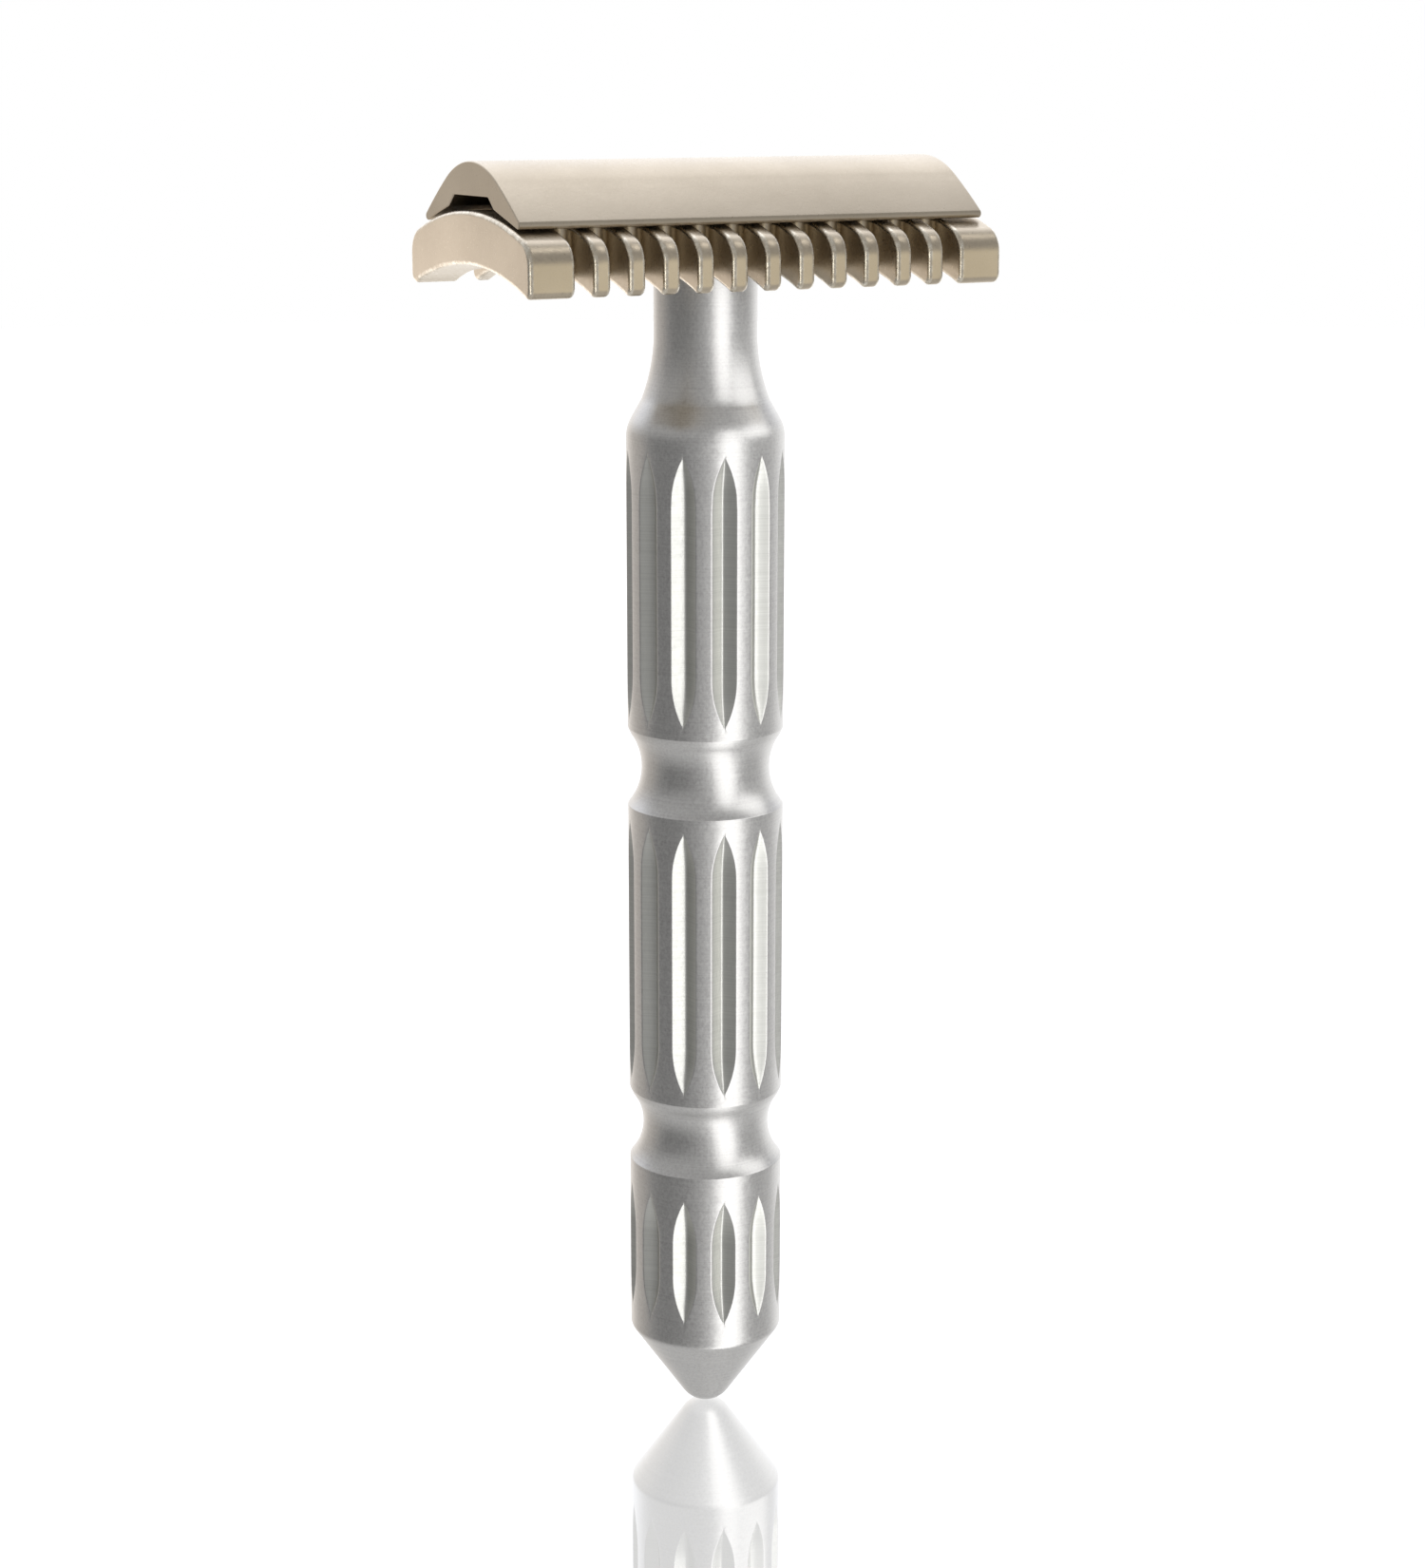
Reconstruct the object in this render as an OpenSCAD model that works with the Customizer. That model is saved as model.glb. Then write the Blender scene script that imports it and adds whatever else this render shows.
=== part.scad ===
// Three-piece double-edge safety razor with an open comb.
// Millimetres. The origin is the lowest point of the handle's tip, on the handle's axis.
// +Z runs up the handle to the head, +X along the head, +Y towards the rear comb.

/* [Handle] */
// Height of the whole razor
razor_h = 111.9; // [108:0.1:114]
// Diameter of the three fluted bands
band_d = 13.6; // [13:0.1:14]
// Diameter of the neck under the head
neck_d = 8.8; // [8.2:0.1:9.4]
// Angle between the conical end and the handle's axis
cone_angle = 35; // [32:0.5:38]
// Radius of the rounded tip
tip_r = 2.6; // [2:0.1:3]
// Height of the lower fluted band
band_low_h = 16.1; // [15:0.1:17]
// Height of the lower cove
cove_low_h = 6.4; // [5.8:0.1:7]
// Height of the middle fluted band
band_mid_h = 26.2; // [24:0.1:28]
// Height of the upper cove
cove_high_h = 6.7; // [6:0.1:7.2]
// Height of the upper fluted band
band_high_h = 26.3; // [24:0.1:28]
// Depth of the coves below the bands
cove_depth = 1.2; // [0.9:0.05:1.4]
// Height of the flare between the upper band and the neck
flare_h = 8.1; // [7:0.1:8.6]

/* [Flutes] */
// Number of flutes around each band
flute_count = 12; // [8:1:12]
// Angle of the first flute about the handle's axis
flute_start = 16; // [0:0.5:30]
// Width of a flute at the band's surface
flute_w = 2.2; // [1.6:0.05:2.4]
// Depth of a flute below the band's surface
flute_depth = 0.95; // [0.7:0.05:1]
// Length of a flute's run-out at each end
flute_runout = 4.2; // [3:0.1:5]
// Plain length between a flute's point and the edge of the lower band
flute_margin_low = 2.3; // [1.2:0.1:2.6]
// Plain length between a flute's point and the edge of the middle band
flute_margin_mid = 1.3; // [0.8:0.1:1.6]
// Plain length between a flute's upper point and the upper band's edge
flute_margin_high = 1.9; // [1:0.1:2.6]

/* [Base plate] */
// Length of the base plate
plate_l = 43.5; // [43:0.1:45]
// Width of the base plate over both combs
plate_w = 24; // [23.4:0.1:25]
// Height of the base plate from the comb's underside to its crown
plate_h = 6.4; // [6.2:0.05:6.6]
// Radius of the crowned top
crown_r = 31; // [30:0.5:33]
// Radius of the comb's rounded nose
nose_r = 2.2; // [2:0.1:2.5]
// Height of the hollow underside at the middle
arch_h = 2.05; // [1.8:0.05:2.2]
// Radius of the hollow underside
arch_r = 32; // [30:0.5:34]

/* [Comb] */
// Number of slots in each comb
slot_count = 12; // [8:1:12]
// Distance from one slot to the next
slot_pitch = 3.08; // [2.9:0.01:3.1]
// Width of a slot
slot_w = 1.6; // [1.2:0.02:1.7]
// Distance from the middle of the plate to the slots' inner ends
slot_inner = 7.2; // [7:0.1:7.8]

/* [Cap] */
// Length of the cap
cap_l = 42.8; // [42.4:0.1:43.4]
// Width of the cap
cap_w = 18.8; // [18.6:0.1:19]
// Radius of the cap's ridge
ridge_r = 9.5; // [9.2:0.1:9.8]
// Radius of the cap's rounded lip
lip_r = 0.35; // [0.3:0.05:0.5]
// Half of the channel's width at its mouth
channel_mouth = 4.5; // [4.4:0.05:4.6]
// Half of the channel's width at its ceiling
channel_top = 3.4; // [3.2:0.05:3.5]

/* [Fastening] */
// Diameter of the threaded stud
stud_d = 5; // [5:0.1:5]
// Length of the stud in the handle's socket
stud_reach = 9; // [8.5:0.1:9.5]
// Diameter of an alignment post
post_d = 3; // [2.8:0.1:3]
// Distance between the alignment posts
post_gap = 26; // [25:0.5:27]

/* [Hidden] */

// Segments of a full circle on bores, pins and turned parts
$fn = 96;
// Reach of a cutting shape past the surface that it cuts
cut = 1;

// Turned handle, from the tip up
band_r = band_d / 2;
neck_r = neck_d / 2;
band_low_z = tip_r * (1 - sin(cone_angle)) + (band_r - tip_r * cos(cone_angle)) / tan(cone_angle);
cove_low_z = band_low_z + band_low_h;
band_mid_z = cove_low_z + cove_low_h;
cove_high_z = band_mid_z + band_mid_h;
band_high_z = cove_high_z + cove_high_h;
flare_z = band_high_z + band_high_h;
neck_z = flare_z + flare_h;
edge_chamfer = 0.2;
flare_rise = band_r - neck_r - edge_chamfer;
flare_r = (flare_h * flare_h + flare_rise * flare_rise) / (2 * flare_rise);

// Heights of the head's faces above the comb's underside
cap_top = 10.3;
channel_mouth_h = 6.6;
channel_top_h = 7.55;
seat_h = 2.15;
head_z = razor_h - cap_top;
handle_top = head_z + seat_h;

// Fits: the stud and posts turn or slide in running clearance, and are pressed into the cap
running = 0.05;
stud_r = stud_d / 2;
stud_top_h = 9.2;
stud_bottom_h = seat_h - stud_reach;
socket_depth = 11;
post_r = post_d / 2;
post_top_h = 8.9;
post_bottom_h = 2.5;
seat_r = neck_r + 0.15;

// Comb and cap outlines
comb_y = plate_w / 2;
foot_r = 0.8;
flank_r = 50;
flank_start = 32;
flank_y = (ridge_r - flank_r) * sin(flank_start);
flank_h = cap_top - ridge_r + (ridge_r - flank_r) * cos(flank_start);
lip_y = cap_w / 2 - lip_r;
lip_angle = asin((lip_y - flank_y) / (flank_r - lip_r));
lip_end = 190;
lip_h = flank_h + (flank_r - lip_r) * cos(lip_angle);

// Points of an arc about a centre, angles counted from +Y of the outline towards +X
function arc(cx, cy, r, from, to, steps) = [
    for (i = [0:steps])
        let (a = from + (to - from) * i / steps)
        [cx + r * sin(a), cy + r * cos(a)]
];

// A list of points without its first, to follow an arc that ends there
function tail(points) = [for (i = [1:len(points) - 1]) points[i]];

// An outline's right half followed by its mirror image, closed around X = 0
function mirrored(half) = concat(
    half,
    [for (i = [len(half) - 1:-1:0]) if (half[i][0] > 0) [-half[i][0], half[i][1]]]
);

// Stands an outline drawn in Y and Z up and sweeps it along X, centred
module along_x(length) {
    translate([-length / 2, 0, 0])
        rotate([90, 0, 90])
            linear_extrude(length)
                children();
}

// Radius of the cove that is cut between two bands
function cove_r(height) = (height * height / 4 + cove_depth * cove_depth) / (2 * cove_depth);

// Right half of one cove's outline, between two chamfered band edges, going up
function cove(z, height) =
    let (
        r = cove_r(height),
        open = asin((height / 2 - edge_chamfer) / r)
    )
    [
        for (i = [-6:6])
            [band_r - cove_depth + r - r * cos(open * i / 6), z + height / 2 + r * sin(open * i / 6)]
    ];

// Half outline of the turned handle, from the tip up to the neck's end
function handle_outline() = concat(
    arc(0, tip_r, tip_r, 180, 90 + cone_angle, 6),
    [[band_r - edge_chamfer, band_low_z - edge_chamfer]],
    [[band_r, band_low_z]],
    [[band_r, cove_low_z]],
    cove(cove_low_z, cove_low_h),
    [[band_r, band_mid_z]],
    [[band_r, cove_high_z]],
    cove(cove_high_z, cove_high_h),
    [[band_r, band_high_z]],
    [[band_r, flare_z]],
    [
        for (i = [10:-1:0])
            let (a = asin(flare_h / flare_r) * i / 10)
            [neck_r + flare_r - flare_r * cos(a), neck_z - flare_r * sin(a)]
    ],
    [[neck_r, handle_top - 2 * edge_chamfer]],
    [[neck_r - 2 * edge_chamfer, handle_top]],
    [[0, handle_top]]
);

// One V-shaped flute between two heights, with run-outs that rise to the surface
module flute(z_low, z_high) {
    reach = 3;
    tilt = atan(flute_depth / flute_runout);
    straight = z_high - z_low - 2 * flute_runout;
    slope = flute_w / 2 / flute_depth;
    vee = [[0, 0], [reach, reach * slope], [reach, -reach * slope]];
    translate([band_r - flute_depth, 0, (z_low + z_high) / 2]) {
        linear_extrude(straight, center = true)
            polygon(vee);
        for (end = [0, 1])
            mirror([0, 0, end])
                translate([0, 0, straight / 2])
                    rotate([0, tilt, 0])
                        linear_extrude(flute_runout + cut)
                            polygon(vee);
    }
}

// Full ring of flutes around one band, between two heights
module flutes(z_low, z_high) {
    for (i = [0:flute_count - 1])
        rotate([0, 0, flute_start + i * 360 / flute_count])
            flute(z_low, z_high);
}

// One-piece turned and milled handle with the stud's socket in its top
module handle() {
    color("silver")
        difference() {
            rotate_extrude()
                polygon(handle_outline());
            flutes(band_low_z + flute_margin_low, cove_low_z - flute_margin_low);
            flutes(band_mid_z + flute_margin_mid, cove_high_z - flute_margin_mid);
            flutes(band_high_z + flute_margin_mid, flare_z - flute_margin_high);
            translate([0, 0, handle_top - socket_depth])
                cylinder(h = socket_depth + cut, r = stud_r + running);
        }
}

// Half outline of the base plate: crown, nose, foot and hollow underside
function plate_outline() =
    let (
        nose_y = comb_y - nose_r,
        crown_h = plate_h - crown_r,
        nose_angle = asin(nose_y / (crown_r - nose_r)),
        nose_h = crown_h + (crown_r - nose_r) * cos(nose_angle),
        foot_angle = acos((foot_r / 3 - arch_h + arch_r) / arch_r)
    )
    concat(
        arc(0, crown_h, crown_r, 0, nose_angle, 6),
        tail(arc(nose_y, nose_h, nose_r, nose_angle, 90, 9)),
        arc(comb_y - foot_r, foot_r, foot_r, 90, 180, 4),
        arc(0, arch_h - arch_r, arch_r, foot_angle, 0, 6)
    );

// Outline of one slot seen from above, with its round inner end towards the plate's middle
function slot_outline() = concat(
    arc(0, slot_inner + slot_w / 2, slot_w / 2, 90, 270, 8),
    [[-slot_w / 2, comb_y + cut], [slot_w / 2, comb_y + cut]]
);

// Slots of both combs, open at the front and the rear
module comb_slots() {
    first = -(slot_count - 1) / 2 * slot_pitch;
    for (i = [0:slot_count - 1], side = [0, 1])
        translate([first + i * slot_pitch, 0, -cut])
            mirror([0, side, 0])
                linear_extrude(plate_h + 2 * cut)
                    polygon(slot_outline());
}

// Open-comb base plate with holes for the stud and the posts
module base_plate() {
    color("tan")
        translate([0, 0, head_z])
            difference() {
                along_x(plate_l)
                    polygon(mirrored(plate_outline()));
                comb_slots();
                translate([0, 0, -cut])
                    cylinder(h = seat_h + cut, r = seat_r);
                cylinder(h = plate_h + cut, r = stud_r + running);
                for (x = [-post_gap / 2, post_gap / 2])
                    translate([x, 0, 0])
                        cylinder(h = plate_h + cut, r = post_r + running);
            }
}

// Half outline of the cap: ridge, flank, lip and the channel under it
function cap_outline() = concat(
    arc(0, cap_top - ridge_r, ridge_r, 0, flank_start, 8),
    tail(arc(flank_y, flank_h, flank_r, flank_start, lip_angle, 4)),
    tail(arc(lip_y, lip_h, lip_r, lip_angle, lip_end, 7)),
    [[channel_mouth, channel_mouth_h], [channel_top, channel_top_h], [0, channel_top_h]]
);

// Cap with blind bores for the stud and the posts in the channel's ceiling
module top_cap() {
    color("wheat")
        translate([0, 0, head_z])
            difference() {
                along_x(cap_l)
                    polygon(mirrored(cap_outline()));
                translate([0, 0, channel_mouth_h])
                    cylinder(h = stud_top_h - channel_mouth_h, r = stud_r);
                for (x = [-post_gap / 2, post_gap / 2])
                    translate([x, 0, channel_mouth_h])
                        cylinder(h = post_top_h - channel_mouth_h, r = post_r);
            }
}

// Stud that draws the cap down, standing for its thread's outer diameter
module threaded_stud() {
    point = 0.6;
    color("gainsboro")
        translate([0, 0, head_z + stud_bottom_h]) {
            translate([0, 0, point])
                cylinder(h = stud_top_h - stud_bottom_h - point, r = stud_r);
            cylinder(h = point, r1 = stud_r - point, r2 = stud_r);
        }
}

// Post that keeps the plate, and the blade that is put in, in line with the cap
module alignment_post(x) {
    point = 0.4;
    color("gainsboro")
        translate([x, 0, head_z + post_bottom_h]) {
            translate([0, 0, point])
                cylinder(h = post_top_h - post_bottom_h - point, r = post_r);
            cylinder(h = point, r1 = post_r - point, r2 = post_r);
        }
}

module alignment_post_left() {
    alignment_post(-post_gap / 2);
}

module alignment_post_right() {
    alignment_post(post_gap / 2);
}

handle();
base_plate();
top_cap();
threaded_stud();
alignment_post_left();
alignment_post_right();
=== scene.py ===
# Looks of the three-piece safety razor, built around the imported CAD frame.
# Sizes are in millimetres, as in the CAD, and become metres when a mesh is made.
import math

import bmesh
import bpy
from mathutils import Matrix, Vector


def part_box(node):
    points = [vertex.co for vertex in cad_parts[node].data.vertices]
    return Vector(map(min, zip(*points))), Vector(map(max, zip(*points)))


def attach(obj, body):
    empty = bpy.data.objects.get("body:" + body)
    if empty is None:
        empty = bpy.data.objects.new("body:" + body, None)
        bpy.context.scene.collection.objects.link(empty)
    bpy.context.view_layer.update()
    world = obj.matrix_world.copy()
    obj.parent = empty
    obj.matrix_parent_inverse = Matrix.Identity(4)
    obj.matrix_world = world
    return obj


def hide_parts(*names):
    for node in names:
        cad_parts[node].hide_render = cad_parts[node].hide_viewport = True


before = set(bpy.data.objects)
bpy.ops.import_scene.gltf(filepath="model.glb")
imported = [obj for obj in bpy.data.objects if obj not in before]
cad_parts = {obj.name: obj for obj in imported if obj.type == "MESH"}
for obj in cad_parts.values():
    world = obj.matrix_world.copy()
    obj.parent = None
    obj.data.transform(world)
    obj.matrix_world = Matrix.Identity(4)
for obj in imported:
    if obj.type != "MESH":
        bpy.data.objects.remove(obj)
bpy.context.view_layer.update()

MM = 0.001

# Heights that the CAD sets, read back from the frame
HEAD_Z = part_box("base_plate")[0].z / MM
HANDLE_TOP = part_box("handle")[1].z / MM
CAP_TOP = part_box("top_cap")[1].z / MM - HEAD_Z
PLATE_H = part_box("base_plate")[1].z / MM - HEAD_Z
PLATE_L = 2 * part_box("base_plate")[1].x / MM
PLATE_W = 2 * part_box("base_plate")[1].y / MM
CAP_L = 2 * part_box("top_cap")[1].x / MM
CAP_W = 2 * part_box("top_cap")[1].y / MM

# Handle
BAND_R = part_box("handle")[1].x / MM
NECK_R = 4.4
CONE_ANGLE = math.radians(35)
TIP_R = 2.6
BAND_LOW_H = 16.1
COVE_LOW_H = 6.4
BAND_MID_H = 26.2
COVE_HIGH_H = 6.7
BAND_HIGH_H = 26.3
COVE_DEPTH = 1.2
COVE_SHOULDER = 0.12
BAND_CHAMFER = 0.3
FLARE_H = 8.1
FLARE_STEP = 0.2
RIM_CHAMFER = 0.3
SOCKET_DEPTH = 11
SOCKET_R = 2.55
SOCKET_MOUTH = 0.35

# Flutes: a round cutter with a V edge sinks in, runs along the band and leaves again.
# The margins are the plain lengths from the band's edges to the flutes' points.
FLUTE_COUNT = 12
FLUTE_START = math.radians(16)
FLUTE_W = 2.2
FLUTE_DEPTH = 0.95
FLUTE_RUNOUT = 4.2
FLUTE_NOSE = 0.2
FLUTE_EDGE = 0.02
FLUTE_MARGIN_LOW = 2.3
FLUTE_MARGIN_MID = 1.3
FLUTE_MARGIN_HIGH = 1.9

# Head
CROWN_R = 31
NOSE_R = 2.2
ARCH_H = 2.05
ARCH_R = 32
FOOT_R = 0.8
SEAT_H = HANDLE_TOP - HEAD_Z
SEAT_GAP = 0.15
SLOT_COUNT = 12
SLOT_PITCH = 3.08
SLOT_W = 1.6
SLOT_INNER = 7.2
TOOTH_ROUND = 0.4
CAP_ROUND = 0.12
RIDGE_R = 9.5
FLANK_R = 50
FLANK_START = math.radians(32)
LIP_R = 0.35
LIP_END = math.radians(190)
CHANNEL_MOUTH = (4.5, 6.6)
CHANNEL_TOP = (3.4, 7.55)

# Stud and posts
STUD_R = 2.5
STUD_PITCH = 0.8
THREAD_DEPTH = 0.42
STUD_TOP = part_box("threaded_stud")[1].z / MM
STUD_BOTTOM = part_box("threaded_stud")[0].z / MM
POST_R = 1.5
POST_X = 13
POST_ROUND = 0.45
POST_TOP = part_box("alignment_post_left")[1].z / MM
POST_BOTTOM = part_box("alignment_post_left")[0].z / MM
POINT_CHAMFER = 0.7
SHANK_GAP = 0.6
RUNNING = 0.05


# Mesh helpers

def make_mesh(name, verts, faces):
    """An object from points in millimetres."""
    mesh = bpy.data.meshes.new(name)
    mesh.from_pydata([tuple(c * MM for c in v) for v in verts], [], faces)
    mesh.validate()
    obj = bpy.data.objects.new(name, mesh)
    bpy.context.scene.collection.objects.link(obj)
    return obj


def recalculate(obj):
    """Turns every face outwards."""
    bm = bmesh.new()
    bm.from_mesh(obj.data)
    bmesh.ops.recalc_face_normals(bm, faces=bm.faces)
    bm.to_mesh(obj.data)
    bm.free()


def shade(obj, angle=30):
    """Smooth faces, with edges over the angle kept sharp."""
    for face in obj.data.polygons:
        face.use_smooth = True
    obj.data.set_sharp_from_angle(angle=math.radians(angle))


def apply_modifiers(obj):
    """Makes the result of the object's modifiers its mesh."""
    graph = bpy.context.evaluated_depsgraph_get()
    result = bpy.data.meshes.new_from_object(obj.evaluated_get(graph))
    old = obj.data
    obj.modifiers.clear()
    obj.data = result
    bpy.data.meshes.remove(old)


def cut_away(obj, cutter):
    """Subtracts one object from another and removes it."""
    mod = obj.modifiers.new("cut", "BOOLEAN")
    mod.operation = "DIFFERENCE"
    mod.solver = "EXACT"
    mod.object = cutter
    apply_modifiers(obj)
    bpy.data.objects.remove(cutter)


def round_edges(obj, width, angle, share=lambda middle: 1):
    """Rounds every edge sharper than the angle, by a share of the width for each chain."""
    bm = bmesh.new()
    bm.from_mesh(obj.data)
    weight = bm.edges.layers.float.new("bevel_weight_edge")
    for edge in bm.edges:
        if len(edge.link_faces) == 2 and edge.calc_face_angle() > math.radians(angle):
            edge[weight] = share((edge.verts[0].co + edge.verts[1].co) / (2 * MM))
    bm.to_mesh(obj.data)
    bm.free()
    mod = obj.modifiers.new("round", "BEVEL")
    mod.width = width * MM
    mod.segments = 4
    mod.limit_method = "WEIGHT"
    mod.miter_outer = "MITER_ARC"
    mod.loop_slide = False
    mod.use_clamp_overlap = False
    apply_modifiers(obj)


def even_normals(obj):
    """Keeps flat faces flat beside their rounded edges."""
    mod = obj.modifiers.new("normals", "WEIGHTED_NORMAL")
    mod.keep_sharp = True
    mod.weight = 80
    apply_modifiers(obj)


def set_attribute(obj, name, values):
    """Stores one number for each vertex, for the materials."""
    attribute = obj.data.attributes.new(name, "FLOAT", "POINT")
    attribute.data.foreach_set("value", values)


def mark_wear_and_glint_edges(obj):
    """Stores how far each vertex is inside a rounded edge, from 0 on plain faces to 1, where the
    head's material paints rubbed wear and a painted highlight.
    """
    bm = bmesh.new()
    bm.from_mesh(obj.data)
    low, high = math.radians(14), math.radians(20)
    largest = 0.4 * MM * MM
    values = []
    for vert in bm.verts:
        sharpest = max(e.calc_face_angle(0) for e in vert.link_edges)
        plain = max(f.calc_area() for f in vert.link_faces) > largest
        values.append(0 if plain else min(max((sharpest - low) / (high - low), 0), 1))
    bm.free()
    set_attribute(obj, "wear_and_glint", values)


def arc(cx, cy, radius, start, end, steps):
    """Points of an arc, with angles in radians counted from +Y towards +X."""
    return [
        (
            cx + radius * math.sin(start + (end - start) * i / steps),
            cy + radius * math.cos(start + (end - start) * i / steps),
        )
        for i in range(steps + 1)
    ]


def mirrored(half):
    """A right half of an outline followed by its mirror image."""
    return half + [(-x, y) for x, y in reversed(half) if x > 1e-6]


def prism(name, outline, axis, low, high):
    """A solid that sweeps an outline along X or Z."""
    def place(point, along):
        return (along, *point) if axis == "X" else (*point, along)

    count = len(outline)
    verts = [place(p, low) for p in outline] + [place(p, high) for p in outline]
    sides = [(i, (i + 1) % count, count + (i + 1) % count, count + i) for i in range(count)]
    ends = [tuple(range(count)), tuple(range(2 * count - 1, count - 1, -1))]
    obj = make_mesh(name, verts, sides + ends)
    recalculate(obj)
    return obj


def circle(cx, cy, radius, steps=64):
    """Points of a full circle."""
    return arc(cx, cy, radius, 0, 2 * math.pi * (steps - 1) / steps, steps - 1)


def rounded_path(points, radius_at, steps=5):
    """An open path whose corners over 12 degrees are replaced with small arcs."""
    path = [points[0]]
    for before, corner, after in zip(points, points[1:], points[2:]):
        radius = radius_at(corner[1])
        a = Vector(corner) - Vector(before)
        b = Vector(after) - Vector(corner)
        turn = a.angle(b)
        if turn < math.radians(12):
            path.append(corner)
            continue
        reach = min(radius * math.tan(turn / 2), a.length * 0.45, b.length * 0.45)
        start = Vector(corner) - a.normalized() * reach
        end = Vector(corner) + b.normalized() * reach
        for i in range(steps + 1):
            t = i / steps
            point = start * (1 - t) ** 2 + Vector(corner) * 2 * t * (1 - t) + end * t * t
            path.append(tuple(point))
    path.append(points[-1])
    return path


def divided(path, longest):
    """The same path with no segment much longer than longest(z) millimetres there."""
    result = [path[0]]
    for a, b in zip(path, path[1:]):
        length = math.dist(a, b)
        at = 0
        while at < length:
            step = longest(a[1] + (b[1] - a[1]) * at / length)
            at = length if length - at < 1.5 * step else at + step
            t = at / length
            result.append((a[0] + (b[0] - a[0]) * t, a[1] + (b[1] - a[1]) * t))
    return result


# Handle

BAND_LOW_Z = TIP_R * (1 - math.sin(CONE_ANGLE)) + (
    BAND_R - TIP_R * math.cos(CONE_ANGLE)
) / math.tan(CONE_ANGLE)
COVE_LOW_Z = BAND_LOW_Z + BAND_LOW_H
BAND_MID_Z = COVE_LOW_Z + COVE_LOW_H
COVE_HIGH_Z = BAND_MID_Z + BAND_MID_H
BAND_HIGH_Z = COVE_HIGH_Z + COVE_HIGH_H
FLARE_Z = BAND_HIGH_Z + BAND_HIGH_H
NECK_Z = FLARE_Z + FLARE_H

# Lower and upper points of the flutes in each band
FLUTE_SPANS = [
    (BAND_LOW_Z + FLUTE_MARGIN_LOW, COVE_LOW_Z - FLUTE_MARGIN_LOW),
    (BAND_MID_Z + FLUTE_MARGIN_MID, COVE_HIGH_Z - FLUTE_MARGIN_MID),
    (BAND_HIGH_Z + FLUTE_MARGIN_MID, FLARE_Z - FLUTE_MARGIN_HIGH),
]


def cove(z, height):
    """Outline of a cove, from the sharp shoulder on a band to the chamfer under the next."""
    radius = (height * height / 4 + COVE_DEPTH ** 2) / (2 * COVE_DEPTH)
    low = math.asin((height / 2 - COVE_SHOULDER) / radius)
    high = math.asin((height / 2 - BAND_CHAMFER) / radius)
    middle = BAND_R - COVE_DEPTH + radius
    steps = 18
    return [
        (middle - radius * math.cos(a), z + height / 2 + radius * math.sin(a))
        for a in (-low + (low + high) * i / steps for i in range(steps + 1))
    ]


def flare():
    """Outline of the flare's hollow from near the upper band to the neck."""
    rise = BAND_R - NECK_R - FLARE_STEP
    radius = (FLARE_H ** 2 + rise ** 2) / (2 * rise)
    angle = math.asin(FLARE_H / radius)
    return [
        (
            NECK_R + radius - radius * math.cos(angle * i / 16),
            NECK_Z - radius * math.sin(angle * i / 16),
        )
        for i in range(11, -1, -1)
    ]


def handle_outline():
    """Radius and height of the turned handle, from the tip to the rim of its top."""
    band_foot = 0.25
    points = arc(0, TIP_R, TIP_R, math.pi, math.pi / 2 + CONE_ANGLE, 14)[1:]
    points += [(BAND_R, BAND_LOW_Z), (BAND_R, COVE_LOW_Z)]
    points += cove(COVE_LOW_Z, COVE_LOW_H)
    points += [(BAND_R, BAND_MID_Z + band_foot), (BAND_R, COVE_HIGH_Z)]
    points += cove(COVE_HIGH_Z, COVE_HIGH_H)
    points += [(BAND_R, BAND_HIGH_Z + band_foot), (BAND_R, FLARE_Z)]
    points += flare()
    points += [(NECK_R, HANDLE_TOP - RIM_CHAMFER), (NECK_R - RIM_CHAMFER, HANDLE_TOP)]
    return points


def flute_depth(z):
    """Depth of the cutter's edge under the band at a height, below zero off the flutes."""
    cutter_r = (FLUTE_RUNOUT ** 2 + FLUTE_DEPTH ** 2) / (2 * FLUTE_DEPTH)
    for low, high in FLUTE_SPANS:
        if low <= z <= high:
            past = max(low + FLUTE_RUNOUT - z, z - high + FLUTE_RUNOUT, 0)
            return FLUTE_DEPTH - cutter_r + math.sqrt(cutter_r ** 2 - past ** 2)
    return -1


FLUTE_SLOPE = (
    math.sqrt(BAND_R ** 2 - (FLUTE_W / 2) ** 2) - BAND_R + FLUTE_DEPTH
) / (FLUTE_W / 2)


def flute_half_width(depth):
    """Half of a flute's width at the band's surface for a depth of cut."""
    floor = BAND_R - depth
    square = 1 + FLUTE_SLOPE ** 2
    root = (floor * FLUTE_SLOPE) ** 2 + square * (BAND_R ** 2 - floor ** 2)
    return (math.sqrt(max(root, 0)) - floor * FLUTE_SLOPE) / square


def fluted_radius(radius, depth, angle):
    """Distance from the axis to the surface at an angle from a flute's middle."""
    if depth <= 0:
        return radius
    nose = FLUTE_NOSE * min(1, depth / 0.5) / radius
    across = math.hypot(math.sin(angle), nose)
    ray = math.cos(angle) - FLUTE_SLOPE * across
    if ray <= 0.05:
        return radius
    cut = (radius - depth) / ray
    return (radius + cut - math.sqrt((cut - radius) ** 2 + FLUTE_EDGE ** 2)) / 2


def column_angles(z):
    """Angles of the mesh's columns over half a flute's sector, crowded at its edge."""
    narrowest = 0.08
    widest = 0.9
    depth = flute_depth(z)
    if depth > 0:
        half = max(flute_half_width(depth), narrowest)
    else:
        past = min(abs(z - end) for span in FLUTE_SPANS for end in span)
        half = min(narrowest + 0.7 * past, widest)
    sector = math.pi / FLUTE_COUNT
    edge = half / BAND_R
    inside = [edge * g for g in (0.06, 0.16, 0.4, 0.7, 0.92, 0.98, 1.02, 1.1)]
    last = inside[-1]
    outside = [last + (sector - last) * g for g in (0.3, 0.65)]
    return inside + outside


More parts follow.
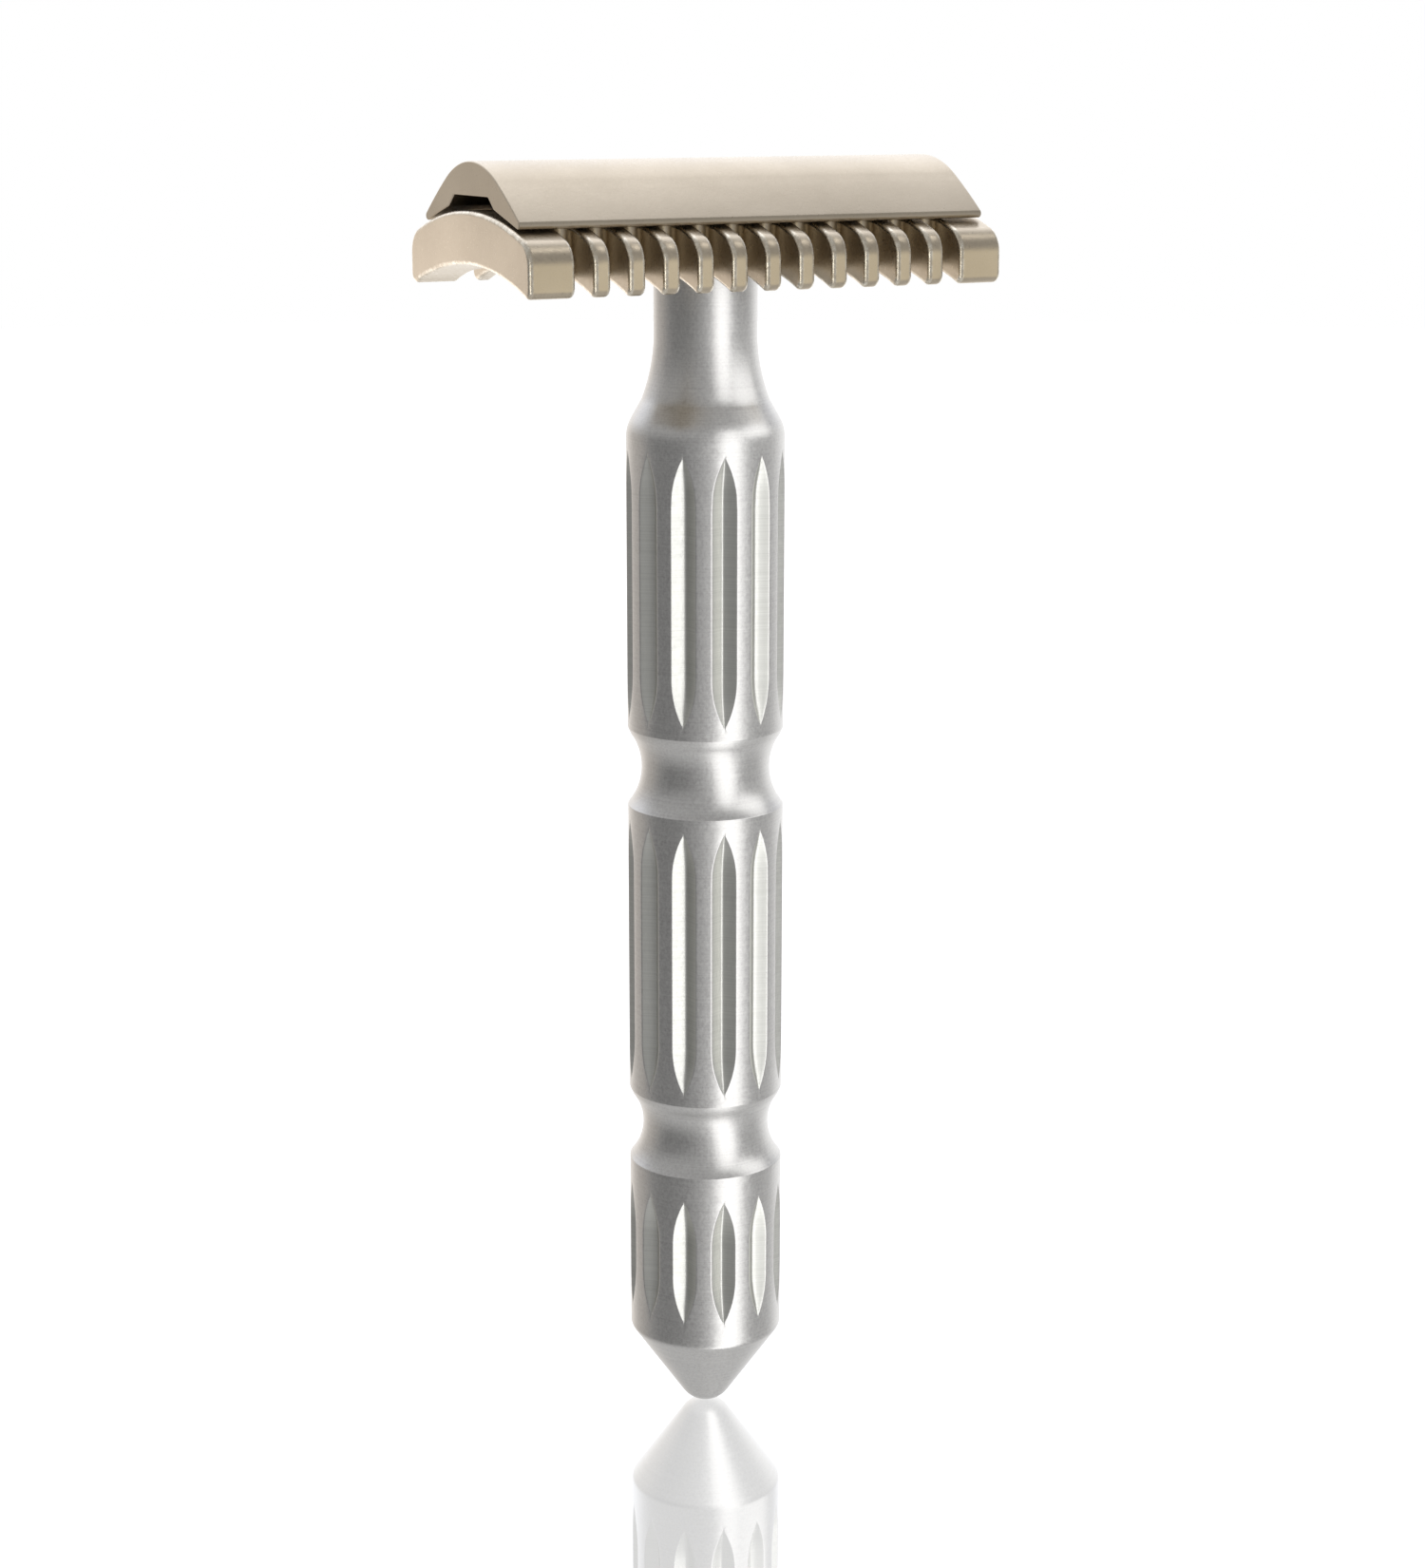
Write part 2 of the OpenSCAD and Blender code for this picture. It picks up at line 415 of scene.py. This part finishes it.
def ring_angles(z):
    """Angles of all the columns around the handle at a height."""
    half = column_angles(z)
    one = [-a for a in reversed(half)] + [0] + half
    step = 2 * math.pi / FLUTE_COUNT
    ring = []
    for i in range(FLUTE_COUNT):
        middle = FLUTE_START + i * step
        ring += [middle + a for a in one] + [middle + step / 2]
    return ring


def edge_radius(z):
    """Radius of a turned edge at a height: crisp, but soft under the flare and over the cone."""
    near = 0.5
    if abs(z - FLARE_Z) < near:
        return 3.5
    return 0.8 if abs(z - BAND_LOW_Z) < near else 0.1


def row_length(z):
    """Longest step between the mesh's rows at a height: finest where the flutes run out."""
    runout = FLUTE_RUNOUT + 0.2
    for low, high in FLUTE_SPANS:
        if low - 0.2 < z < low + runout or high - runout < z < high + 0.2:
            return 0.22
        if low <= z <= high:
            return 1.4
    return 0.5


def thread_height(z, angle):
    """From 0 at a thread's root to 1 at its crest, for a right-hand thread about +Z."""
    turn = (z / STUD_PITCH - angle / (2 * math.pi)) % 1
    flank = 1 - abs(2 * turn - 1)
    return min(max((flank - 0.125) / 0.75, 0), 1)


def fluted_rows():
    """Points of the handle's outside, ring by ring, and how far each is inside a flute."""
    path = divided(rounded_path(handle_outline(), edge_radius), row_length)
    verts = []
    milled = []
    for radius, z in path:
        depth = flute_depth(z)
        ring = ring_angles(z)
        sector = len(ring) // FLUTE_COUNT
        for k, angle in enumerate(ring):
            middle = FLUTE_START + (k // sector) * 2 * math.pi / FLUTE_COUNT
            r = fluted_radius(radius, depth, angle - middle)
            verts.append((r * math.cos(angle), r * math.sin(angle), z))
            milled.append(min(max((radius - r - 0.01) / 0.02, 0), 1))
    return verts, milled


def socket_rows():
    """Points of the tapped socket's wall, ring by ring, from the handle's top down."""
    start = HANDLE_TOP - SOCKET_MOUTH
    step = STUD_PITCH / 4
    count = int((SOCKET_DEPTH - 1) / step)
    verts = []
    for row, z in enumerate([HANDLE_TOP] + [start - step * i for i in range(count)]):
        for angle in ring_angles(HANDLE_TOP):
            thread = SOCKET_R - THREAD_DEPTH * (1 - thread_height(z, angle))
            r = SOCKET_R + SOCKET_MOUTH if row == 0 else thread
            verts.append((r * math.cos(angle), r * math.sin(angle), z))
    return verts


def build_handle():
    """Turned and milled handle, with the tapped socket in its top."""
    outside, milled = fluted_rows()
    rings = outside + socket_rows()
    verts = [(0, 0, 0)] + rings + [(0, 0, HANDLE_TOP - SOCKET_DEPTH)]
    count = len(ring_angles(0))
    rows = len(rings) // count
    faces = []
    for i in range(count):
        j = (i + 1) % count
        faces.append((0, 1 + j, 1 + i))
        for row in range(rows - 1):
            low = 1 + row * count
            high = low + count
            faces.append((low + i, low + j, high + j, high + i))
        last = 1 + (rows - 1) * count
        faces.append((last + i, last + j, len(verts) - 1))
    obj = make_mesh("handle_milled", verts, faces)
    plain = len(verts) - 1 - len(milled)
    set_attribute(obj, "milled", [0] + milled + [0] * plain)
    recalculate(obj)
    shade(obj, 38)
    return obj


# Head

def plate_outline():
    """Right half of the base plate's end view: crown, nose, foot and hollow underside."""
    nose_y = PLATE_W / 2 - NOSE_R
    crown_z = PLATE_H - CROWN_R
    nose_angle = math.asin(nose_y / (CROWN_R - NOSE_R))
    nose_z = crown_z + (CROWN_R - NOSE_R) * math.cos(nose_angle)
    foot_angle = math.acos((FOOT_R / 3 - ARCH_H + ARCH_R) / ARCH_R)
    points = (
        arc(0, crown_z, CROWN_R, 0, nose_angle, 18)
        + arc(nose_y, nose_z, NOSE_R, nose_angle + 0.06, math.pi / 2, 16)
        + arc(PLATE_W / 2 - FOOT_R, FOOT_R, FOOT_R, math.pi / 2, math.pi, 8)
        + arc(0, ARCH_H - ARCH_R, ARCH_R, foot_angle, 0, 16)
    )
    # One facet spans the slots' round ends, so that their rounding runs clean
    low, high = SLOT_INNER - TOOTH_ROUND, SLOT_INNER + SLOT_W / 2 + TOOTH_ROUND
    return [p for p in points if not low < p[0] < high]


def slot_outline(x, side):
    """One comb slot seen from above, with its round inner end."""
    points = arc(0, SLOT_INNER + SLOT_W / 2, SLOT_W / 2, math.pi / 2, 3 * math.pi / 2, 16)
    points += [(-SLOT_W / 2, PLATE_W / 2 + 1), (SLOT_W / 2, PLATE_W / 2 + 1)]
    return [(x + px, side * py) for px, py in points]


def plate_edge_share(middle):
    """How much of the teeth's rounding an edge of the plate has: none at the bored holes."""
    at_stud = math.hypot(middle.x, middle.y) < NECK_R + 0.5
    at_post = math.hypot(abs(middle.x) - POST_X, middle.y) < POST_R + 0.5
    return 0 if at_stud or at_post else 1


def build_base_plate():
    """Open-comb base plate."""
    outline = [(y, z + HEAD_Z) for y, z in mirrored(plate_outline())]
    plate = prism("base_plate_comb", outline, "X", -PLATE_L / 2, PLATE_L / 2)
    low, high = HEAD_Z - 1, HEAD_Z + PLATE_H + 1
    first = -(SLOT_COUNT - 1) / 2 * SLOT_PITCH
    for i in range(SLOT_COUNT):
        for side in (-1, 1):
            outline = slot_outline(first + i * SLOT_PITCH, side)
            cut_away(plate, prism("slot", outline, "Z", low, high))
    seat = circle(0, 0, NECK_R + SEAT_GAP, 96)
    cut_away(plate, prism("seat", seat, "Z", low, HEAD_Z + SEAT_H))
    cut_away(plate, prism("stud_hole", circle(0, 0, STUD_R + RUNNING, 72), "Z", low, high))
    for x in (-POST_X, POST_X):
        hole = circle(x, 0, POST_R + RUNNING, 56)
        cut_away(plate, prism("post_hole", hole, "Z", low, high))
    round_edges(plate, TOOTH_ROUND, 42, plate_edge_share)
    shade(plate, 35)
    even_normals(plate)
    # Rounded edges that the material paints bright, partly rubbed wear and partly a painted
    # highlight
    mark_wear_and_glint_edges(plate)
    return plate


def cap_outline():
    """Right half of the cap's end view: ridge, flank, lip and the channel under it."""
    ridge_z = CAP_TOP - RIDGE_R
    flank_y = (RIDGE_R - FLANK_R) * math.sin(FLANK_START)
    flank_z = ridge_z + (RIDGE_R - FLANK_R) * math.cos(FLANK_START)
    lip_y = CAP_W / 2 - LIP_R
    lip_angle = math.asin((lip_y - flank_y) / (FLANK_R - LIP_R))
    lip_z = flank_z + (FLANK_R - LIP_R) * math.cos(lip_angle)
    return (
        arc(0, ridge_z, RIDGE_R, 0, FLANK_START, 20)
        + arc(flank_y, flank_z, FLANK_R, FLANK_START + 0.02, lip_angle, 14)
        + arc(lip_y, lip_z, LIP_R, lip_angle + 0.15, LIP_END, 18)
        + [CHANNEL_MOUTH, CHANNEL_TOP, (0, CHANNEL_TOP[1])]
    )


def build_cap():
    """Domed cap."""
    outline = [(y, z + HEAD_Z) for y, z in mirrored(cap_outline())]
    cap = prism("top_cap_dome", outline, "X", -CAP_L / 2, CAP_L / 2)
    round_edges(cap, CAP_ROUND, 30)
    shade(cap, 35)
    even_normals(cap)
    return cap


def turned(name, x, rings, columns):
    """A closed pin from its rings, each a height and a radius for an angle, going up."""
    angles = [2 * math.pi * k / columns for k in range(columns)]
    verts = [
        (x + radius(a) * math.cos(a), radius(a) * math.sin(a), z)
        for z, radius in rings
        for a in angles
    ]
    last = (len(rings) - 1) * columns
    faces = [tuple(reversed(range(columns)))]
    for row in range(0, last, columns):
        for k in range(columns):
            low, after = row + k, row + (k + 1) % columns
            faces.append((low, after, after + columns, low + columns))
    faces.append(tuple(last + k for k in range(columns)))
    obj = make_mesh(name, verts, faces)
    recalculate(obj)
    return obj


def stud_ring(z):
    """Height and radius of the stud's thread, which the chamfered point trims."""
    point = STUD_R - POINT_CHAMFER + (z - STUD_BOTTOM)
    return z, lambda a: min(STUD_R - THREAD_DEPTH * (1 - thread_height(z, a)), point)


def build_stud():
    """Threaded stud with a chamfered point, and a plain shank where it enters the cap."""
    step = STUD_PITCH / 10
    shank_z = HEAD_Z + CHANNEL_TOP[1] - SHANK_GAP
    count = int((shank_z - STUD_BOTTOM) / step) + 1
    rings = [stud_ring(STUD_BOTTOM + row * step) for row in range(count)]
    rings += [(z, lambda a: STUD_R) for z in (shank_z + 0.1, STUD_TOP)]
    obj = turned("threaded_stud_m5", 0, rings, 72)
    shade(obj, 50)
    return obj


def build_post(name, x):
    """Alignment post with a rounded point."""
    point = [math.pi / 2 * i / 8 for i in range(9)]
    rings = [
        (
            POST_BOTTOM + POST_ROUND * (1 - math.cos(t)),
            lambda a, t=t: POST_R - POST_ROUND * (1 - math.sin(t)),
        )
        for t in point
    ]
    rings.append((POST_TOP, lambda a: POST_R))
    obj = turned(name, x, rings, 48)
    shade(obj, 40)
    return obj


# Materials

class Nodes:
    """Short ways to add and join the nodes of a material or a world."""

    def __init__(self, owner):
        owner.use_nodes = True
        self.tree = owner.node_tree

    def join(self, source, socket):
        self.tree.links.new(source, socket)

    def coordinates(self, kind):
        return self.tree.nodes.new("ShaderNodeTexCoord").outputs[kind]

    def scaled(self, source, scale):
        """The coordinates stretched by a factor on each axis."""
        node = self.tree.nodes.new("ShaderNodeMapping")
        node.inputs["Scale"].default_value = scale
        self.join(source, node.inputs["Vector"])
        return node.outputs["Vector"]

    def noise(self, source, scale, detail=3, roughness=0.5, distortion=0.0):
        node = self.tree.nodes.new("ShaderNodeTexNoise")
        node.inputs["Scale"].default_value = scale
        node.inputs["Detail"].default_value = detail
        node.inputs["Roughness"].default_value = roughness
        node.inputs["Distortion"].default_value = distortion
        self.join(source, node.inputs["Vector"])
        return node.outputs["Fac"]

    def attribute(self, name):
        """A number that the mesh keeps for each vertex."""
        node = self.tree.nodes.new("ShaderNodeAttribute")
        node.attribute_name = name
        return node.outputs["Fac"]

    def mixed(self, share, a, b):
        """From colour a to colour b by a share."""
        node = self.tree.nodes.new("ShaderNodeMix")
        node.data_type = "RGBA"
        for socket, value in zip((0, 6, 7), (share, a, b)):
            if isinstance(value, tuple):
                node.inputs[socket].default_value = (*value, 1)
            else:
                self.join(value, node.inputs[socket])
        return node.outputs[2]

    def ramp(self, source, stops):
        """A colour for each stop of a value."""
        node = self.tree.nodes.new("ShaderNodeValToRGB")
        elements = node.color_ramp.elements
        while len(elements) < len(stops):
            elements.new(0.5)
        for element, (position, colour) in zip(elements, stops):
            element.position = position
            element.color = (*colour, 1)
        self.join(source, node.inputs["Fac"])
        return node.outputs["Color"]

    def ranged(self, source, low, high, start=0.0, end=1.0):
        """A value moved from start..end to low..high."""
        node = self.tree.nodes.new("ShaderNodeMapRange")
        node.inputs["From Min"].default_value = start
        node.inputs["From Max"].default_value = end
        node.inputs["To Min"].default_value = low
        node.inputs["To Max"].default_value = high
        self.join(source, node.inputs["Value"])
        return node.outputs["Result"]

    def math(self, operation, *values):
        node = self.tree.nodes.new("ShaderNodeMath")
        node.operation = operation
        for socket, value in zip(node.inputs, values):
            if isinstance(value, (int, float)):
                socket.default_value = value
            else:
                self.join(value, socket)
        return node.outputs["Value"]

    def bump(self, height, strength, distance, under=None):
        node = self.tree.nodes.new("ShaderNodeBump")
        node.inputs["Strength"].default_value = strength
        node.inputs["Distance"].default_value = distance * MM
        self.join(height, node.inputs["Height"])
        if under is not None:
            self.join(under, node.inputs["Normal"])
        return node.outputs["Normal"]


class Metal(Nodes):
    """The nodes of a new metal, with its surface shader and its place on the object."""

    def __init__(self, name):
        self.material = bpy.data.materials.new(name)
        super().__init__(self.material)
        self.shader = self.tree.nodes["Principled BSDF"]
        self.shader.inputs["Metallic"].default_value = 1.0
        self.position = self.coordinates("Object")

    def finish(self, colour, roughness, normal):
        """Joins the results to the shader and returns the material."""
        self.join(colour, self.shader.inputs["Base Color"])
        self.join(roughness, self.shader.inputs["Roughness"])
        self.join(normal, self.shader.inputs["Normal"])
        return self.material


def linear(red, green, blue):
    """A linear colour from its screen values of 0 to 255."""
    return tuple(((c / 255 + 0.055) / 1.055) ** 2.4 for c in (red, green, blue))


def head_material():
    """Bead-blasted champagne metal: fine pitted grain, faint patches, and edges painted near
    white, partly rubbed plating and partly a painted highlight.
    """
    n = Metal("champagne_bead_blast")
    patches = n.noise(n.position, 90, 4, 0.6)
    grain = n.noise(n.position, 4600, 3, 0.6)
    shades = n.math("ADD", n.math("MULTIPLY", patches, 0.6), n.math("MULTIPLY", grain, 0.4))
    base = n.ramp(shades, [
        (0.35, linear(184, 172, 153)),
        (0.5, linear(193, 181, 162)),
        (0.65, linear(201, 189, 170)),
    ])
    # Rounded edges painted near white: partly rubbed plating, partly a painted highlight that
    # the edges' shape doesn't catch from the lamps
    rubbed_and_glint = n.ranged(n.noise(n.position, 1700, 4, 0.7, 0.6), 0.1, 0.75, 0.4, 0.62)
    rubbed_and_glint = n.math("MULTIPLY", n.attribute("wear_and_glint"), rubbed_and_glint)
    colour = n.mixed(rubbed_and_glint, base, linear(246, 240, 226))
    rough = n.ranged(grain, 0.27, 0.41, 0.3, 0.7)
    rough = n.math("SUBTRACT", rough, n.math("MULTIPLY", rubbed_and_glint, 0.12))
    coarse = n.bump(n.noise(n.position, 1500, 3, 0.6), 0.25, 0.02)
    return n.finish(colour, rough, n.bump(grain, 0.5, 0.01, coarse))


def handle_material():
    """Satin steel: sandy grain over faint turning rings, and cutter lines in the flutes, whose
    colour is lighter, partly their milled tone and partly a painted highlight for their lit
    walls.
    """
    n = Metal("turned_satin_steel")
    milled = n.attribute("milled")
    rings = n.noise(n.scaled(n.position, (60, 60, 11000)), 1, 2, 0.6)
    grain = n.noise(n.position, 4200, 3, 0.7)
    speckle = n.math("ADD", n.math("MULTIPLY", grain, 0.7), n.math("MULTIPLY", rings, 0.3))
    land = n.ramp(speckle, [
        (0.36, linear(195, 193, 192)),
        (0.5, linear(206, 205, 203)),
        (0.64, linear(215, 214, 212)),
    ])
    # Flutes painted lighter than the lands: partly the milled tone, partly a painted highlight
    # to brighten their lit walls
    flute = n.ramp(rings, [
        (0.3, linear(204, 204, 199)),
        (0.7, linear(216, 216, 211)),
    ])
    rough = n.ranged(grain, 0.28, 0.4, 0.3, 0.7)
    rough = n.math("ADD", rough, n.math("MULTIPLY", milled, 0.05))
    cutter = n.math("MULTIPLY", rings, n.ranged(milled, 0.4, 1))
    sandy = n.bump(grain, 0.2, 0.012)
    return n.finish(n.mixed(milled, land, flute), rough, n.bump(cutter, 0.15, 0.004, sandy))


def fastener_material():
    """Bright machined steel with fine turning rings."""
    n = Metal("machined_steel")
    rings = n.noise(n.scaled(n.position, (200, 200, 12000)), 1, 2, 0.6)
    colour = n.ramp(n.noise(n.position, 300, 3, 0.6), [
        (0.3, linear(190, 190, 192)),
        (0.7, linear(206, 206, 206)),
    ])
    return n.finish(colour, n.ranged(rings, 0.18, 0.3, 0.3, 0.7), n.bump(rings, 0.3, 0.004))


def floor_material():
    """Pale backlit acrylic: an even glow under a faint mirror."""
    material = bpy.data.materials.new("pale_floor")
    n = Nodes(material)
    nodes = n.tree.nodes
    glow = nodes.new("ShaderNodeEmission")
    glow.inputs["Color"].default_value = (1, 1, 1, 1)
    mirror = nodes.new("ShaderNodeBsdfGlossy")
    mirror.inputs["Color"].default_value = (1, 1, 1, 1)
    mirror.inputs["Roughness"].default_value = 0.015
    mix = nodes.new("ShaderNodeMixShader")
    mix.inputs["Fac"].default_value = 0.46
    n.join(glow.outputs["Emission"], mix.inputs[1])
    n.join(mirror.outputs["BSDF"], mix.inputs[2])
    n.join(mix.outputs["Shader"], nodes["Material Output"].inputs["Surface"])
    return material


# The object

def dress(obj, body, slot, material, *nodes):
    """Puts a finished piece on its body, in its finish, in place of CAD nodes."""
    obj.data.materials.clear()
    obj.data.materials.append(material)
    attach(obj, body)
    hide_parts(*nodes)


head_metal = head_material()
fastener_metal = fastener_material()
dress(build_handle(), "handle", "handle_metal", handle_material(), "handle")
dress(build_base_plate(), "base_plate", "head_metal", head_metal, "base_plate")
dress(build_cap(), "cap", "head_metal", head_metal, "top_cap")
dress(build_stud(), "cap", "fastener_metal", fastener_metal, "threaded_stud")
for side, x in (("left", -POST_X), ("right", POST_X)):
    post = build_post(f"alignment_post_{side}_pin", x)
    dress(post, "cap", "fastener_metal", fastener_metal, f"alignment_post_{side}")


# Camera, with its place measured from the razor's tip

CAMERA_PLACE = (-118.5, -224.0, 119.1)
CAMERA_AZIMUTH = math.radians(-27.87)
CAMERA_DOWN = math.radians(13.53)
CAMERA_LENS = 68.25
CAMERA_SHIFT = 0.0048


def add_camera():
    data = bpy.data.cameras.new("camera")
    data.lens = CAMERA_LENS
    data.sensor_width = 36
    data.shift_x = CAMERA_SHIFT
    data.clip_start = 0.01
    data.clip_end = 10
    camera = bpy.data.objects.new("camera", data)
    bpy.context.scene.collection.objects.link(camera)
    camera.location = Vector(CAMERA_PLACE) * MM
    back = Vector((
        math.sin(CAMERA_AZIMUTH) * math.cos(CAMERA_DOWN),
        -math.cos(CAMERA_AZIMUTH) * math.cos(CAMERA_DOWN),
        math.sin(CAMERA_DOWN),
    ))
    camera.rotation_mode = "QUATERNION"
    camera.rotation_quaternion = (-back).to_track_quat("-Z", "Y")
    bpy.context.scene.camera = camera


# Stage and light

FLOOR_R = 1200
HANDLE_PIECES = ["handle_milled"]
PLATE_PIECES = ["base_plate_comb"]


def grey(value):
    return (value, value, value)


def pink(value):
    return (value, value * 0.94, value * 0.88)


def cool(value):
    return (value, value * 1.02, value * 1.08)


# Brightness and tint around the razor by the angle to the right of the camera, level with it
# and higher up, and straight above and below it
STUDIO_LEVEL = [
    (-180, grey(1.5)),
    (-150, pink(1.2)),
    (-128, pink(0.64)),
    (-108, pink(0.55)),
    (-92, grey(0.34)),
    (-76, grey(0.22)),
    (-40, grey(0.24)),
    (-14, grey(0.36)),
    (2, grey(0.52)),
    (18, grey(0.58)),
    (58, grey(0.54)),
    (80, grey(0.45)),
    (112, grey(0.6)),
    (136, grey(1.2)),
    (180, grey(1.5)),
]
STUDIO_HIGH = [
    (-180, cool(1.68)),
    (-140, cool(1.45)),
    (-100, grey(0.5)),
    (60, grey(0.42)),
    (90, grey(0.42)),
    (112, grey(0.36)),
    (134, cool(0.8)),
    (154, cool(1.55)),
    (180, cool(1.68)),
]
STUDIO_TOP = grey(0.6)
STUDIO_BELOW = grey(0.63)

# Softboxes: name, angle to the right of the camera, rise, distance, width, height, brightness,
# colour, and the pieces that they light. Sizes are in metres.
SOFTBOXES = [
    ("streak", 37, -0.3, 0.32, 0.22, 0.9, 1.45, (1, 1, 1), HANDLE_PIECES),
    ("flare_glow", 84, 0.5, 0.3, 0.3, 0.16, 1.3, (1, 1, 1), HANDLE_PIECES),
    ("comb_fill", 56, -0.23, 0.32, 0.3, 0.3, 0.45, (1, 0.92, 0.66), PLATE_PIECES),
    ("comb_edges", -35, -0.23, 0.32, 0.1, 0.3, 2.0, (1, 0.98, 0.92), PLATE_PIECES),
    ("comb_tops", 86, 1.6, 0.36, 0.2, 0.2, 1.7, (1, 0.99, 0.97), PLATE_PIECES),
    ("end_glow", -124, -0.24, 0.075, 0.05, 0.05, 0.7, (1, 0.93, 0.9), PLATE_PIECES),
]


def add_floor():
    """Round pale floor under the tip."""
    outline = circle(0, 0, FLOOR_R, 96)
    floor = make_mesh("floor", [(x, y, 0) for x, y in outline], [tuple(range(len(outline)))])
    recalculate(floor)
    floor.data.materials.append(floor_material())
    floor.visible_glossy = False
    floor.visible_shadow = False


def add_softbox(name, turn, rise, distance, width, height, brightness, colour, receivers):
    """A softbox that faces the handle's middle or the head and lights only the named pieces."""
    data = bpy.data.lights.new(name, "AREA")
    data.shape = "RECTANGLE"
    data.size = width
    data.size_y = height
    data.energy = brightness * math.pi * width * height
    data.color = colour
    light = bpy.data.objects.new(name, data)
    bpy.context.scene.collection.objects.link(light)
    angle = CAMERA_AZIMUTH + math.radians(turn)
    side = Vector((math.sin(angle), -math.cos(angle), rise))
    height_aimed = 60 if receivers == HANDLE_PIECES else HEAD_Z
    light.location = Vector((0, 0, height_aimed * MM)) + side * distance
    light.rotation_mode = "QUATERNION"
    light.rotation_quaternion = (-side).to_track_quat("-Z", "Y")
    light.visible_camera = False
    lit = bpy.data.collections.new("lit_by_" + name)
    for piece in receivers:
        lit.objects.link(bpy.data.objects[piece])
    light.light_linking.receiver_collection = lit


def studio_light(n):
    """Colour of the studio in a direction, from the tables of stops."""
    parts = n.tree.nodes.new("ShaderNodeSeparateXYZ")
    n.join(n.coordinates("Generated"), parts.inputs["Vector"])
    turn = n.math("ARCTAN2", parts.outputs["X"], n.math("MULTIPLY", parts.outputs["Y"], -1))
    turn = n.math("WRAP", n.math("SUBTRACT", turn, CAMERA_AZIMUTH), math.pi, -math.pi)
    angle = n.ranged(turn, 0, 1, -math.pi, math.pi)
    level, high = (
        n.ramp(angle, [((a + 180) / 360, colour) for a, colour in stops])
        for stops in (STUDIO_LEVEL, STUDIO_HIGH)
    )
    rise = parts.outputs["Z"]
    light = n.mixed(n.ranged(rise, 0, 1, 0.05, 0.35), level, high)
    light = n.mixed(n.ranged(rise, 0, 1, 0.94, 0.985), light, STUDIO_TOP)
    return n.mixed(n.ranged(rise, 0, 1, -0.45, -0.85), light, STUDIO_BELOW)


def add_world():
    """The studio, which lights and shows in the razor, before a plain white background."""
    world = bpy.data.worlds.new("studio")
    bpy.context.scene.world = world
    n = Nodes(world)
    nodes = n.tree.nodes
    studio = nodes["Background"]
    n.join(studio_light(n), studio.inputs["Color"])
    white = nodes.new("ShaderNodeBackground")
    white.inputs["Color"].default_value = (1, 1, 1, 1)
    mix = nodes.new("ShaderNodeMixShader")
    n.join(nodes.new("ShaderNodeLightPath").outputs["Is Camera Ray"], mix.inputs["Fac"])
    n.join(studio.outputs["Background"], mix.inputs[1])
    n.join(white.outputs["Background"], mix.inputs[2])
    n.join(mix.outputs["Shader"], nodes["World Output"].inputs["Surface"])


add_camera()
add_floor()
add_world()
for softbox in SOFTBOXES:
    add_softbox(*softbox)
bpy.context.scene.view_settings.view_transform = "Standard"
